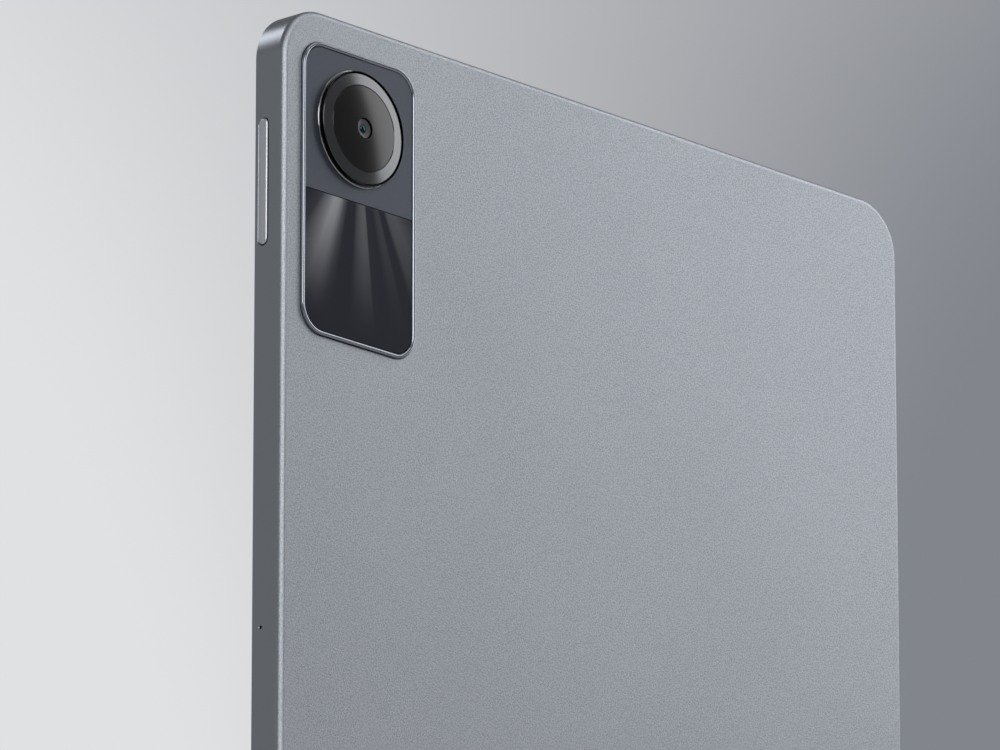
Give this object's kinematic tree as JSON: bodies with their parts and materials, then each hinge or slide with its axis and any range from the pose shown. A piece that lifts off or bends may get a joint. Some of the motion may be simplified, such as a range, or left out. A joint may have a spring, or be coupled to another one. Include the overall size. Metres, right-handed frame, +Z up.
{
  "type": "tablet computer",
  "caption": "Slim tablet computer in a metal housing, with a two-part rear camera plate, a volume rocker, a power key, a card tray and its inner boards, battery and screen stack.",
  "frame": {"origin": "centre of the housing's bottom short side, which the tablet stands on", "axes": "+Z up along the long side, +X across the screen towards the volume rocker, +Y out of the back; the screen faces -Y"},
  "size_m": [0.1674, 0.0088, 0.2558],
  "materials": {
    "anodised_aluminium": "bead-blasted and anodised, satin",
    "black_plastic": "moulded, fine matt",
    "white_plastic": "moulded, satin",
    "foam_tape": "matt foam",
    "cover_glass": "clear, polished",
    "display_panel": "glossy, lit from behind",
    "dark_glass": "dark, coated and polished",
    "steel": "stamped and plain",
    "tin_plate": "tinned sheet",
    "polyimide": "amber film, satin",
    "polished_trim": "diamond-cut, polished",
    "satin_plate": "satin blue-grey",
    "gloss_plate": "dark gloss with light rays under the surface",
    "brushed_ring": "spun, dark anodised",
    "dust_mesh": "fine woven mesh",
    "rubber": "matt",
    "circuit_board": "green solder mask, satin",
    "battery_pouch": "laminated foil, satin"
  },
  "bodies": {
    "tablet": {"rear_housing": "anodised_aluminium", "wifi_antenna": "white_plastic", "front_frame": "black_plastic", "display_adhesive": "foam_tape", "cover_glass": "cover_glass", "display_panel": "display_panel", "backlight_unit": "white_plastic", "display_backplate": "steel", "display_flex": "polyimide", "camera_trim": "polished_trim", "camera_plate_upper": "satin_plate", "camera_plate_lower": "gloss_plate", "camera_ring": "brushed_ring", "camera_bezel": "brushed_ring", "camera_lens_cover": "dark_glass", "rear_camera_module": "black_plastic", "rear_camera_lens": "black_plastic", "rear_camera_flex": "polyimide", "front_camera_module": "black_plastic", "front_camera_lens": "dark_glass", "front_camera_flex": "polyimide", "light_sensor": "white_plastic", "volume_up_switch": "steel", "volume_down_switch": "steel", "volume_key_flex": "polyimide", "power_switch": "steel", "power_key_flex": "polyimide", "card_reader": "tin_plate", "usb_c_shell": "steel", "usb_c_tongue": "black_plastic", "headphone_jack": "black_plastic", "speaker_mesh_top_left": "dust_mesh", "speaker_top_left": "black_plastic", "speaker_mesh_top_right": "dust_mesh", "speaker_top_right": "black_plastic", "speaker_mesh_bottom_left": "dust_mesh", "speaker_bottom_left": "black_plastic", "speaker_mesh_bottom_right": "dust_mesh", "speaker_bottom_right": "black_plastic", "microphone_side": "tin_plate", "microphone_top": "tin_plate", "mainboard": "circuit_board", "shield_processor": "tin_plate", "shield_memory": "tin_plate", "shield_power": "tin_plate", "sub_board": "circuit_board", "board_flex": "polyimide", "mainboard_screw_1": "steel", "mainboard_screw_2": "steel", "mainboard_screw_3": "steel", "mainboard_screw_4": "steel", "sub_board_screw_1": "steel", "sub_board_screw_2": "steel", "battery_cell_left": "battery_pouch", "battery_cell_right": "battery_pouch", "battery_board": "circuit_board"},
    "volume_key": {"volume_rocker": "anodised_aluminium"},
    "power_button": {"power_key": "anodised_aluminium"},
    "card_carrier": {"card_tray": "anodised_aluminium", "card_tray_seal": "rubber"}
  },
  "joints": [
    {"name": "volume_rock", "type": "hinge", "parent": "tablet", "child": "volume_key", "pos_m": [0.0815, -0.00108, 0.2227], "axis": [0, 1, 0], "range_deg": [-1.2, 1.2], "stiffness_Nm_per_rad": 0.1},
    {"name": "power_press", "type": "slide", "parent": "tablet", "child": "power_button", "axis": [0, 0, -1], "range_m": [0, 0.0002], "stiffness_N_per_m": 1000},
    {"name": "tray_slide", "type": "slide", "parent": "tablet", "child": "card_carrier", "axis": [-1, 0, 0], "range_m": [0, 0.018]}
  ]
}
